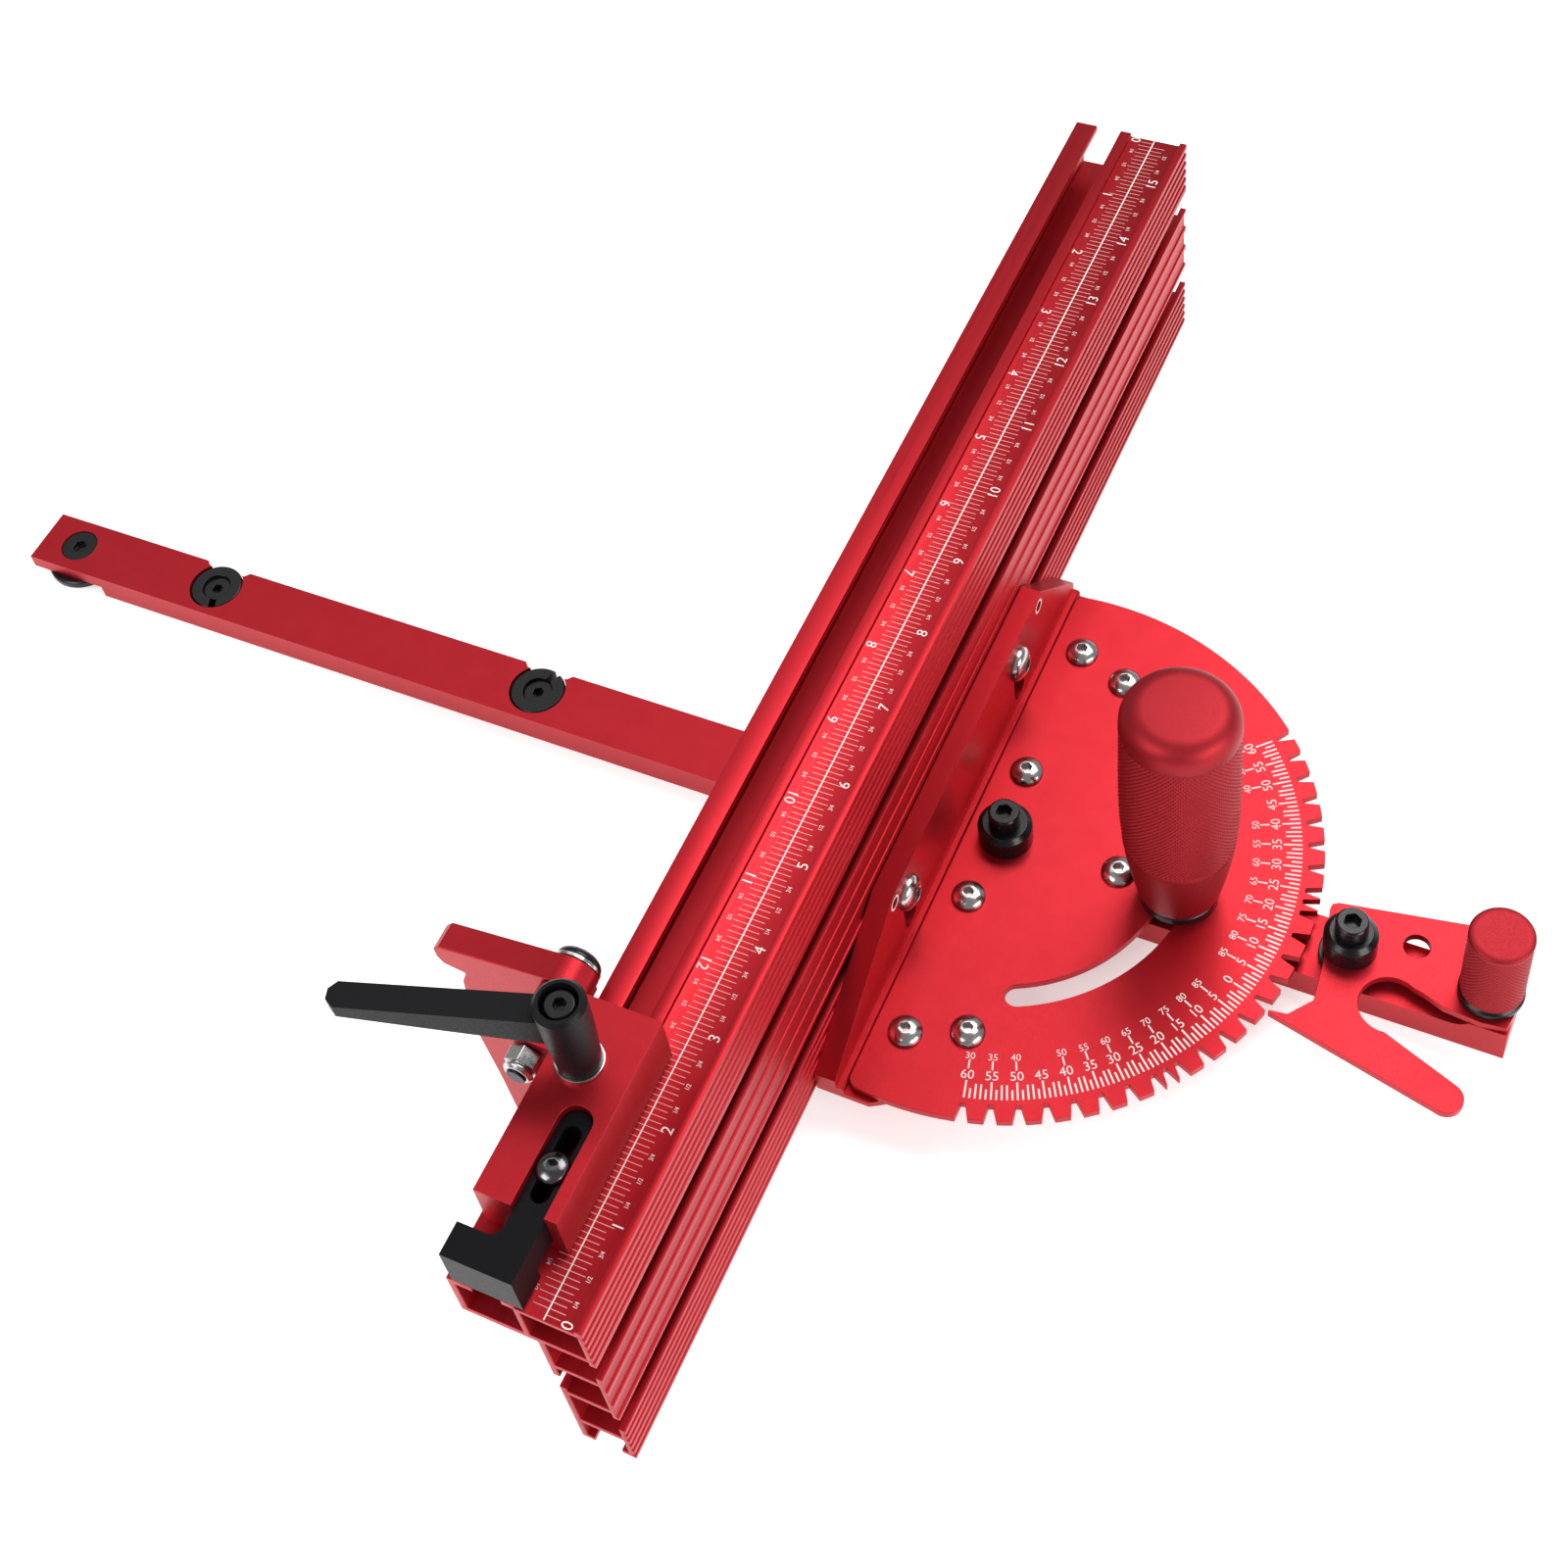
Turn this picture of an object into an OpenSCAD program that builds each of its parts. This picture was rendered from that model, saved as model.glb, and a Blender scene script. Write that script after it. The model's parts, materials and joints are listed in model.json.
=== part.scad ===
// Miter gauge: a slot bar, a toothed protractor plate with its lever, and a slotted fence with a flip stop.
// Frame: X runs along the fence, Y along the bar towards the front, Z up.
// The origin is on the protractor's pivot axis, at the underside of the bar.

/* [Bar] */
// Width of the bar
bar_w = 19; // [17:0.5:22]
// Thickness of the bar
bar_t = 9.5; // [8.5:0.1:11]
// Length of the bar ahead of the pivot
bar_front = 338; // [334:1:420]
// Length of the bar behind the lock stud
bar_tail = 7; // [6:0.5:12]
// Length of the relieved stretch under the front end
relief_len = 27; // [24:0.5:32]
// Thickness that the relief leaves
relief_left = 4.8; // [4:0.1:5.5]
// Height of the raised seats that carry the plates
seat_h = 2.5; // [2:0.1:4]
// Length of the raised pad at the rear end
pad_len = 10; // [8:0.5:11]
// Radius of the curved run-out ahead of the pad
pad_run_r = 6; // [4:0.5:8]

/* [Retaining disc] */
// Radius of the disc that rides in a T-shaped table slot
retain_r = 12; // [10.5:0.25:12.5]
// Thickness of the disc
retain_t = 3; // [2.2:0.1:3.5]
// Distance of the disc from the bar's front end
retain_back = 13.5; // [12:0.5:14]

/* [Expansion discs] */
// Radius of a split disc
disc_r = 8.5; // [7.5:0.1:8.6]
// How far a disc stands out of the bar's side
disc_proud = 0.4; // [0.2:0.1:0.8]
// Thickness of a disc
disc_t = 6.3; // [5:0.1:6.8]
// Distance of the front disc from the pivot
disc_front_y = 270.8; // [255:0.5:285]
// Distance of the rear disc from the pivot
disc_rear_y = 152.3; // [140:0.5:170]
// Width of the split in a disc
disc_split = 2.2; // [1.5:0.1:3]
// Half length of the notch that frees a disc at the bar's side
notch_half = 8.2; // [7.6:0.1:9]

/* [Protractor] */
// Thickness of the protractor plate and of the lever plate
plate_t = 2.5; // [2:0.1:3.5]
// Radius over the teeth
tooth_r = 86.4; // [84.5:0.1:86.6]
// Depth of a notch
notch_depth = 4.4; // [3.8:0.1:4.6]
// Half width of a notch at its root
notch_root_half = 0.6; // [0.5:0.05:0.75]
// Half width of a notch at the rim
notch_rim_half = 1.7; // [1.6:0.05:1.9]
// Angle between the bar and the notch for zero
zero_ang = 16.3; // [15.5:0.1:17]
// Degrees between two notches
notch_step = 5; // [5,10]
// Largest angle each way
swing_max = 60; // [45:1:60]
// Extra notch each way, for eight sides
extra_notch = 22.5; // [22.5]
// Distance from the pivot to the plate's straight edge
chord_y = 10.9; // [10:0.1:12]
// Corner radius of the plate
plate_corner_r = 3; // [2:0.5:5]
// Radius of the arc slot's centre line
arc_r = 50; // [49:0.5:52]
// Half angle of the arc slot
arc_half = 65.2; // [64.5:0.1:66]

/* [Pivots] */
// Radius of the sleeves that the plates turn on
sleeve_r = 5; // [4.5:0.1:5.5]
// Running clearance between a sleeve or stud and its hole
run_c = 0.05; // [0.03:0.01:0.08]
// Radius of the pivot collar's flange
pivot_flange_r = 7.6; // [7:0.1:9]
// Height of the pivot collar's flange
pivot_flange_h = 7.4; // [5:0.1:9]
// Radius of the pivot spacer
pivot_spacer_r = 10; // [8.5:0.1:11]
// Distance from the toothed rim to the lever plate's pivot
index_gap = 10.6; // [10.2:0.1:11.1]
// Radius of the index collar's flange
index_flange_r = 7.1; // [6.5:0.1:8]
// Height of the index collar's flange
index_flange_h = 8.1; // [5:0.1:9]
// Radius of the index spacer
index_spacer_r = 8; // [7:0.1:9]
// Radius of the pivot bolts' thread
bolt_r = 2.5; // [2:0.1:2.8]
// Radius of the pivot bolts' heads
bolt_head_r = 4.4; // [4:0.1:5]
// Height of the pivot bolts' heads
bolt_head_h = 5.2; // [4:0.1:6]

/* [Handle] */
// Radius of the handle's stud
stud_r = 3; // [2.5:0.1:3.2]
// Radius of the handle's washer
handle_washer_r = 10.8; // [9:0.1:12.5]
// Thickness of the handle's washer
handle_washer_t = 3.5; // [2:0.1:5]
// Radius of the handle's foot
handle_foot_r = 11; // [9:0.1:12]
// Largest radius of the handle
handle_r = 15.7; // [13:0.1:17]
// Length of the handle
handle_h = 83; // [75:1:95]
// Radius of the rounded top edge
handle_edge_r = 6; // [3:0.5:7]

/* [Lock knob] */
// Distance from the lever plate's pivot to the lock stud
lock_gap = 37; // [36.6:0.1:37.4]
// Radius of the lock stud
lock_stud_r = 2.5; // [2:0.1:2.8]
// Radius of the lock knob
knob_r = 8.3; // [7:0.1:9]
// Height of the lock knob
knob_h = 26.3; // [22:0.5:32]
// Radius of the knob's washer
knob_washer_r = 8.5; // [7:0.1:9]
// Thickness of the knob's washer
knob_washer_t = 3; // [2:0.1:4]

/* [Lever plate] */
// Degrees that the lever turns from a notch to its resting place
lever_swing = 9.5; // [9:0.1:10]
// Radius of the plate's rear edge about its pivot
lever_rear_r = 44.3; // [44:0.1:45]
// Radius of the round hole in the plate
lever_hole_r = 3.5; // [3:0.1:4]
// Width of the thumb lever
thumb_w = 8.8; // [8:0.1:10]

/* [Bracket] */
// Half length of the bracket
bracket_half = 87.8; // [84:0.1:90]
// Thickness of the upright flange
flange_t = 6; // [5:0.1:7]
// Thickness of the bottom leg
leg_t = 2.2; // [1.8:0.1:2.3]
// Height of the bracket's top edge
flange_top = 42.7; // [41.5:0.1:46]
// Length of the upright slots
bracket_slot_len = 19; // [16:0.5:20]
// Radius of the fence bolts' thread
fence_bolt_r = 3; // [2.5:0.1:3.2]

/* [Fence] */
// Length of the fence
fence_len = 400; // [398:1:440]
// Distance of the fence's near end from the pivot
fence_near = 194.7; // [190:0.1:200]
// Distance of the fence's back face from the pivot
fence_back = 19; // [18.5:0.1:20]
// Height of the fence's bottom edge above the bar's underside
fence_bottom = 11; // [10.2:0.1:12]
// Height of the fence
fence_h = 76.7; // [75.5:0.1:80]
// Depth of the fence's stem
stem_d = 15; // [14:0.1:16]
// Depth of the fence's top box
box_d = 35; // [34:0.1:38]
// Thickness of the fence's walls
wall = 1.8; // [1.5:0.1:2.1]
// Width of the fence's T-slots
slot_w = 7.5; // [7.2:0.1:8]

/* [Stop] */
// Length of the stop block
block_len = 53.2; // [52:0.1:56]
// Width of the stop block
block_w = 21.4; // [20:0.1:22.4]
// Height of the stop block
block_h = 16.1; // [15:0.1:18]
// Distance of the block's far end from the fence's near end
block_at = 68.8; // [66:0.1:120]
// Width of the groove for the finger
groove_w = 8.4; // [8:0.1:9]
// Depth of the groove
groove_depth = 12; // [10:0.1:12.5]
// Sliding clearance of the finger in its groove
finger_c = 0.15; // [0.1:0.01:0.25]
// Radius of the hinge bolt
hinge_r = 2.5; // [2:0.1:2.8]
// Thickness of the flip arm
arm_t = 7.5; // [6:0.1:9]
// Reach of the flip arm ahead of its hinge
arm_reach = 36.2; // [34:0.1:38]
// Radius of the flip arm's knuckle
knuckle_r = 6.3; // [5.8:0.1:6.6]

/* [Clamp lever] */
// Length from the lever's axis to its tip
clamp_len = 55; // [45:1:65]
// Height of the lever's hub
hub_h = 26.7; // [24:0.1:30]
// Radius of the hub at its top
hub_top_r = 6.4; // [6:0.1:7.2]
// Angle of the lever's arm from the bar's direction
clamp_ang = 17; // [0:1:40]

/* [Hidden] */

$fn = 64;
eps = 0.01;
cut = 1;

red = [0.80, 0.12, 0.16];
black = [0.12, 0.12, 0.13];
steel = [0.75, 0.76, 0.78];
pale = [0.90, 0.90, 0.88];

index_y = tooth_r + index_gap;
lock_y = index_y + lock_gap;
bar_rear = lock_y + bar_tail;
seat_z = bar_t + seat_h;
plate_top = seat_z + plate_t;
thread_c = 0.02;

// Points of an arc, for outlines
function arc(c, r, a0, a1, n) =
    [for (i = [0:n]) c + r * [cos(a0 + (a1 - a0) * i / n), sin(a0 + (a1 - a0) * i / n)]];

// A point turned about the lever plate's pivot
index_p = [0, -index_y];
function turned(p, a) = index_p + [(p - index_p)[0] * cos(a) - (p - index_p)[1] * sin(a),
    (p - index_p)[0] * sin(a) + (p - index_p)[1] * cos(a)];

// A six-sided key socket sunk into a head whose top is at z
module key_socket(z, across, depth) {
    translate([0, 0, z - depth]) cylinder(r = across / sqrt(3), h = depth + cut, $fn = 6);
}

// A plain screw: its shank from z0 to z1, and a round domed head on top
module button_screw(r, head_r, head_h, z0, z1, across) {
    difference() {
        union() {
            translate([0, 0, z0]) cylinder(r = r, h = z1 - z0 + eps);
            rotate_extrude() polygon(concat([[0, z1], [head_r, z1], [head_r, z1 + head_h * 0.15]],
                [for (i = [1:6]) [head_r * cos(i * 11) , z1 + head_h * (0.15 + 0.85 * sin(i * 11) / sin(66))]],
                [[0, z1 + head_h]]));
        }
        key_socket(z1 + head_h, across, head_h * 0.7);
    }
}

// A socket head screw: its shank from z0 to z1, and a tall round head on top
module socket_screw(r, head_r, head_h, z0, z1, across) {
    edge = 0.5;
    difference() {
        union() {
            translate([0, 0, z0]) cylinder(r = r, h = z1 - z0 + eps);
            rotate_extrude() polygon([[0, z1], [head_r, z1], [head_r, z1 + head_h - edge],
                [head_r - edge, z1 + head_h], [0, z1 + head_h]]);
        }
        key_socket(z1 + head_h, across, head_h * 0.5);
    }
}

// A countersunk screw: its flat head ends at z_top, its shank starts at z0
module flat_screw(r, head_r, cone_h, z0, z_top, across) {
    difference() {
        rotate_extrude() polygon([[0, z0], [r, z0], [r, z_top - cone_h], [head_r, z_top - 0.4], [head_r, z_top],
            [0, z_top]]);
        key_socket(z_top, across, cone_h * 0.6);
    }
}

// A flat ring with broken outer edges
module ring(r_out, r_in, z, h, edge) {
    rotate_extrude() polygon([[r_in, z], [r_out - edge, z], [r_out, z + edge], [r_out, z + h - edge],
        [r_out - edge, z + h], [r_in, z + h]]);
}

// Bar

retain_y = bar_front - retain_back;
relief_z = bar_t - relief_left;
retain_z = relief_z - retain_t;
retain_head_r = 5.9;
retain_cone_h = 3;
retain_top = bar_t - 0.3;
disc_x = bar_w / 2 + disc_proud - disc_r;
disc_pocket_c = 0.25;
disc_top = bar_t - 0.3;
disc_floor = disc_top - disc_t;
taper_top = disc_top - 1.1;
taper_h = 3.8;
taper_head_r = 4.4;
stud_floor = 2;
pad_run = sqrt(pow(pad_run_r, 2) - pow(pad_run_r - seat_h, 2));

module disc_pocket(y) {
    translate([disc_x, y, disc_floor]) cylinder(r = disc_r + disc_pocket_c, h = bar_t);
    translate([disc_x, y, -cut]) cylinder(r = bolt_r + thread_c, h = bar_t);
    // The notch opens the pocket at the bar's side
    translate([bar_w / 2, y, -cut]) linear_extrude(bar_t + 2 * cut)
        polygon([[-1.6, -notch_half + 1.4], [0, -notch_half], [cut, -notch_half], [cut, notch_half],
            [0, notch_half], [-1.6, notch_half - 1.4]]);
}

module bar() color(red) {
    difference() {
        union() {
            translate([-bar_w / 2, -bar_rear, 0]) cube([bar_w, bar_rear + bar_front, bar_t]);
            difference() {
                translate([-bar_w / 2, -bar_rear, 0]) cube([bar_w, pad_len + pad_run, seat_z]);
                translate([-bar_w, -bar_rear + pad_len + pad_run, bar_t + pad_run_r])
                    rotate([0, 90, 0]) cylinder(r = pad_run_r, h = 2 * bar_w);
            }
        }
        translate([-bar_w, bar_front - relief_len, -cut]) cube([2 * bar_w, relief_len + cut, relief_z + cut]);
        for (y = [disc_front_y, disc_rear_y]) disc_pocket(y);
        translate([0, retain_y, 0]) {
            cylinder(r = 3 + thread_c, h = bar_t + cut);
            rotate_extrude() polygon([[0, retain_top - retain_cone_h - 0.1], [3 + 0.1, retain_top - retain_cone_h - 0.1],
                [retain_head_r + 0.15, retain_top - 0.4], [retain_head_r + 0.15, bar_t + cut], [0, bar_t + cut]]);
        }
        translate([0, 0, stud_floor]) cylinder(r = bolt_r + thread_c, h = bar_t);
        translate([0, -index_y, stud_floor]) cylinder(r = bolt_r + thread_c, h = bar_t);
        translate([0, -arc_r, stud_floor]) cylinder(r = stud_r + thread_c, h = bar_t);
        translate([0, -lock_y, stud_floor]) cylinder(r = lock_stud_r + thread_c, h = seat_z);
    }
}

module retaining_disc() color(black) translate([0, retain_y, 0])
    ring(retain_r, 3 + thread_c, retain_z, retain_t, 0.6);

module retaining_screw() color(black) translate([0, retain_y, 0])
    flat_screw(3, retain_head_r, retain_cone_h, retain_z + 0.2, retain_top, 4);

// A split disc that a taper screw spreads against the table slot; the split points along side
module expansion_disc(y, side) color(black) translate([disc_x, y, 0]) difference() {
    ring(disc_r, bolt_r + 0.2, disc_floor, disc_t, 0.5);
    rotate_extrude() polygon([[0, taper_top - taper_h - 0.1], [bolt_r + 0.1, taper_top - taper_h - 0.1],
        [taper_head_r + 0.15, taper_top - 0.3], [taper_head_r + 0.15, disc_top + cut], [0, disc_top + cut]]);
    rotate([0, 0, side]) translate([0, -disc_split / 2, 0]) cube([2 * disc_r, disc_split, bar_t + cut]);
}

module expansion_screw(y) color(black) translate([disc_x, y, 0])
    flat_screw(bolt_r, taper_head_r, taper_h, 0.8, taper_top, 3);

module front_expansion_disc() expansion_disc(disc_front_y, 200);
module rear_expansion_disc() expansion_disc(disc_rear_y, -20);
module front_expansion_screw() expansion_screw(disc_front_y);
module rear_expansion_screw() expansion_screw(disc_rear_y);

// Pivots

axial_c = 0.1;

// A collar: a sleeve that stands on the bar inside the spacer and the plate, and a flange above the plate
module collar(flange_r, flange_h) {
    edge = 1.4;
    z = plate_top + axial_c;
    color(black) rotate_extrude() polygon([[bolt_r + run_c, bar_t], [sleeve_r, bar_t], [sleeve_r, z],
        [flange_r, z], [flange_r, z + flange_h - edge], [flange_r - edge, z + flange_h],
        [bolt_r + run_c, z + flange_h]]);
}

module pivot_spacer() color(steel) ring(pivot_spacer_r, sleeve_r + run_c, bar_t, seat_h, 0.2);
module pivot_collar() collar(pivot_flange_r, pivot_flange_h);
module pivot_bolt() color(black)
    socket_screw(bolt_r, bolt_head_r, bolt_head_h, stud_floor + 0.5, plate_top + axial_c + pivot_flange_h, 4);
module index_spacer() color(steel) translate(index_p) ring(index_spacer_r, sleeve_r + run_c, bar_t, seat_h, 0.2);
module index_collar() translate(index_p) collar(index_flange_r, index_flange_h);
module index_bolt() color(black) translate(index_p)
    socket_screw(bolt_r, bolt_head_r, bolt_head_h, stud_floor + 0.5, plate_top + axial_c + index_flange_h, 4);

// Lock knob

lock_p = [0, -lock_y, 0];
knob_z = plate_top + knob_washer_t;
knob_bore_h = knob_h * 0.7;

module lock_stud() color(steel) translate(lock_p) translate([0, 0, stud_floor])
    cylinder(r = lock_stud_r, h = knob_z + knob_bore_h - 2 - stud_floor);

module lock_knob_washer() color(black) translate(lock_p)
    ring(knob_washer_r, lock_stud_r + run_c, plate_top, knob_washer_t, 0.8);

module lock_knob() color(red) translate(lock_p) difference() {
    ring(knob_r, 0, knob_z, knob_h, 0.6);
    translate([0, 0, knob_z - cut]) cylinder(r = lock_stud_r + run_c, h = knob_bore_h + cut);
}

// Handle

handle_p = [0, -arc_r, 0];
handle_z = plate_top + handle_washer_t;
handle_bore_h = handle_h * 0.5;
belly = 0.53;
shoulder_drop = 0.4;
belly_h = handle_h * belly;
shoulder_h = handle_h - handle_edge_r;
shoulder_r = handle_r - shoulder_drop;

// The handle swells from its foot to its belly, then narrows a little up to the rounded top
handle_side = concat(
    [for (i = [0:10]) [handle_r - (handle_r - handle_foot_r) * pow(1 - i / 10, 2), belly_h * i / 10]],
    [for (i = [1:4]) [handle_r - shoulder_drop * pow(i / 4, 2), belly_h + (shoulder_h - belly_h) * i / 4]],
    [for (i = [1:6]) [shoulder_r - handle_edge_r * (1 - cos(i * 14)), shoulder_h + handle_edge_r * sin(i * 14)]]);

module handle_stud() color(steel) translate(handle_p) translate([0, 0, stud_floor])
    cylinder(r = stud_r, h = handle_z + handle_bore_h - 3 - stud_floor);

module handle_washer() color(black) translate(handle_p)
    ring(handle_washer_r, stud_r + run_c, plate_top, handle_washer_t, 0.8);

module handle() color(red) translate(handle_p) translate([0, 0, handle_z]) difference() {
    rotate_extrude($fn = 96) polygon(concat([[0, 0]], handle_side, [[0, handle_h]]));
    translate([0, 0, -cut]) cylinder(r = stud_r + run_c, h = handle_bore_h + cut);
}

// Protractor plate

root_r = tooth_r - notch_depth;
notch_slope = (notch_rim_half - notch_root_half) / notch_depth;
plate_corner = [sqrt(pow(tooth_r - plate_corner_r, 2) - pow(chord_y - plate_corner_r, 2)), chord_y - plate_corner_r];
slot_c = 0.3;
arc_slot_half = stud_r + slot_c;
notches = concat([for (a = [-swing_max:notch_step:swing_max]) a], [-extra_notch, extra_notch]);
screw_r = 2.5;
screw_row_y = 2.3;
screw_row_in = 21.8;
screw_row_out = bracket_half - 21.5;
ear_screw_x = bracket_half - 27.6;
ear_screw_y = -13;
near_screws = [[-screw_row_out, screw_row_y], [-screw_row_in, screw_row_y], [screw_row_in, screw_row_y],
    [screw_row_out, screw_row_y], [-ear_screw_x, ear_screw_y], [ear_screw_x, ear_screw_y]];
glide_y = 32.9;
glide_p = [0, -glide_y];

// A direction counted from the rear of the bar towards plus X
function heading(a) = [sin(a), -cos(a)];

module plate_outline() {
    tangent_y = plate_corner[1] * tooth_r / (tooth_r - plate_corner_r);
    intersection() {
        circle(r = tooth_r, $fn = 180);
        union() {
            translate([-2 * tooth_r, -2 * tooth_r]) square([4 * tooth_r, 2 * tooth_r + tangent_y]);
            translate([-plate_corner[0], 0]) square([2 * plate_corner[0], chord_y]);
            for (s = [-1, 1]) translate([s * plate_corner[0], plate_corner[1]]) circle(r = plate_corner_r);
        }
    }
}

module notch() {
    top = notch_rim_half + notch_slope * cut;
    polygon([[-notch_root_half, -root_r], [notch_root_half, -root_r], [top, -tooth_r - cut], [-top, -tooth_r - cut]]);
}

module arc_slot() {
    far = arc_r * 2;
    difference() {
        circle(r = arc_r + arc_slot_half, $fn = 120);
        circle(r = arc_r - arc_slot_half, $fn = 120);
        polygon([[0, 0], far * heading(arc_half), far * heading(120), [far, far], [-far, far],
            far * heading(-120), far * heading(-arc_half)]);
    }
    for (s = [-1, 1]) translate(arc_r * heading(s * arc_half)) circle(r = arc_slot_half);
}

module protractor_plate() color(red) translate([0, 0, seat_z]) linear_extrude(plate_t) difference() {
    plate_outline();
    for (a = notches) rotate(a - zero_ang) notch();
    arc_slot();
    circle(r = sleeve_r + run_c);
    for (p = concat(near_screws, [glide_p])) translate(p) circle(r = screw_r + 0.2);
}

module glide_pad() color(pale) translate(glide_p) ring(6, screw_r + thread_c, bar_t + 0.1, seat_h - 0.1, 0.3);

module plate_screws() color(steel) for (p = concat(near_screws, [glide_p]))
    translate(p) button_screw(screw_r, 4.75, 2.7, bar_t + 0.5, plate_top, 3);

// Fence bracket

leg_z = seat_z - leg_t;
flange_y = fence_back - flange_t;
flange_low = 17.5;
bevel_near = 43.5;
bevel_far = 63.5;
slot_near_x = 36;
slot_far_x = 44.5;
bracket_slots = [-slot_near_x, slot_far_x];
set_near_x = 43.5;
set_far_x = 61.3;
set_screws = [-set_near_x, set_far_x];
set_screw_z = 38.6;
set_screw_r = 1.6;
back_slot_z = fence_bottom + 21.55;
bracket_slot_half = fence_bolt_r + 0.5;
bracket_slot_top = back_slot_z + bracket_slot_half;
leg_side_y = 19;
leg_waist_y = 6;
leg_corner_y = 4;
ear_out = bracket_half - 13.8;
ear_in = bracket_half - 33.8;
waist_x = bracket_half - 41.8;

// The leg runs under the plate, clear of the pivot and of the stud in the arc slot
module leg_outline() difference() {
    polygon([[-bracket_half, fence_back], [-bracket_half, leg_corner_y], [-ear_out, -leg_side_y],
        [-ear_in, -leg_side_y], [-waist_x, -leg_waist_y], [waist_x, -leg_waist_y], [ear_in, -leg_side_y],
        [ear_out, -leg_side_y], [bracket_half, leg_corner_y], [bracket_half, fence_back]]);
    circle(r = pivot_spacer_r + 2);
    translate([-pivot_spacer_r - 2, -leg_side_y]) square([2 * pivot_spacer_r + 4, leg_side_y]);
}

module fence_bracket() color(red) difference() {
    union() {
        translate([0, 0, leg_z]) linear_extrude(leg_t) leg_outline();
        // The step beside the plate's straight edge
        translate([-bracket_half, 0, 0]) rotate([90, 0, 90]) linear_extrude(2 * bracket_half)
            polygon([[chord_y + 0.1, leg_z], [fence_back, leg_z], [fence_back, plate_top], [chord_y + 0.7, plate_top],
                [chord_y + 0.1, plate_top - 0.6]]);
        translate([0, fence_back, 0]) rotate([90, 0, 0]) linear_extrude(flange_t)
            polygon([[-bracket_half, leg_z], [bracket_half, leg_z], [bracket_half, flange_low],
                [bevel_far, flange_top], [-bevel_near, flange_top], [-bracket_half, flange_low]]);
    }
    // Upright slots for the fence bolts
    for (x = bracket_slots) translate([x, fence_back + cut, 0]) rotate([90, 0, 0]) {
        translate([0, bracket_slot_top - bracket_slot_half, 0]) cylinder(r = bracket_slot_half, h = flange_t + 2 * cut);
        translate([0, bracket_slot_top - bracket_slot_len + bracket_slot_half, 0])
            cylinder(r = bracket_slot_half, h = flange_t + 2 * cut);
        translate([-bracket_slot_half, bracket_slot_top - bracket_slot_len + bracket_slot_half, 0])
            cube([2 * bracket_slot_half, bracket_slot_len - 2 * bracket_slot_half, flange_t + 2 * cut]);
    }
    for (x = set_screws) translate([x, fence_back + cut, set_screw_z]) rotate([90, 0, 0])
        cylinder(r = set_screw_r + thread_c, h = flange_t + 2 * cut);
    for (p = near_screws) translate([p[0], p[1], leg_z - cut]) cylinder(r = screw_r + thread_c, h = leg_t + 2 * cut);
}

nut_t = 4.5;
nut_half = 5.8;
nut_len = 14;

module fence_bolts() color(steel) for (x = bracket_slots)
    translate([x, flange_y, back_slot_z]) rotate([90, 0, 0])
        button_screw(fence_bolt_r, 5.2, 3, -flange_t - wall - nut_t, 0, 4);

module fence_nuts() color(steel) for (x = bracket_slots)
    translate([x, fence_back + wall, back_slot_z]) difference() {
        translate([-nut_len / 2, 0, -nut_half]) cube([nut_len, nut_t, 2 * nut_half]);
        translate([0, -cut, 0]) rotate([-90, 0, 0]) cylinder(r = fence_bolt_r + thread_c, h = nut_t + 2 * cut);
    }

module bracket_set_screws() color(black) for (x = set_screws)
    translate([x, fence_back, set_screw_z]) rotate([90, 0, 0]) difference() {
        cylinder(r = set_screw_r, h = flange_t - 1);
        key_socket(flange_t - 1, 1.5, 2);
    }

// Fence

fence_top = fence_bottom + fence_h;
stem_front = fence_back + stem_d;
box_front = fence_back + box_d;
box_bottom = fence_top - 17.7;
box_floor = box_bottom + 2.2;
scale_z = fence_top - 1.3;
scale_near = fence_back + 2.1;
scale_far = fence_back + 17.5;
top_lip = 2;
top_slot_y = fence_back + 24.65;
top_cavity_near = fence_back + 18.1;
top_cavity_far = box_front - 2;
groove_d = 0.5;
upper_slot_z = fence_bottom + 53.8;
front_slot_z = fence_bottom + 35.7;
bottom_slot_y = fence_back + 7.6;

// Heights of the stem's inner rooms, from the bottom up: low and high edge of each
bottom_room = [fence_bottom + wall, fence_bottom + 10.4];
lower_room = [fence_bottom + 12.4, fence_bottom + 28.2];
front_room = [fence_bottom + 30.2, fence_bottom + 44.8];
upper_room = [fence_bottom + 46.6, box_bottom + 0.4];

module room(y0, y1, z0, z1) translate([y0, z0]) square([y1 - y0, z1 - z0]);

// Shallow grooves in the back face, each given by its low and high edge
module back_grooves(edges) for (e = edges) room(fence_back - cut, fence_back + groove_d, e[0], e[1]);

function rib_grooves(z, pitch, w, n) = [for (i = [0:n - 1]) [z + i * pitch, z + i * pitch + w]];

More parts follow.
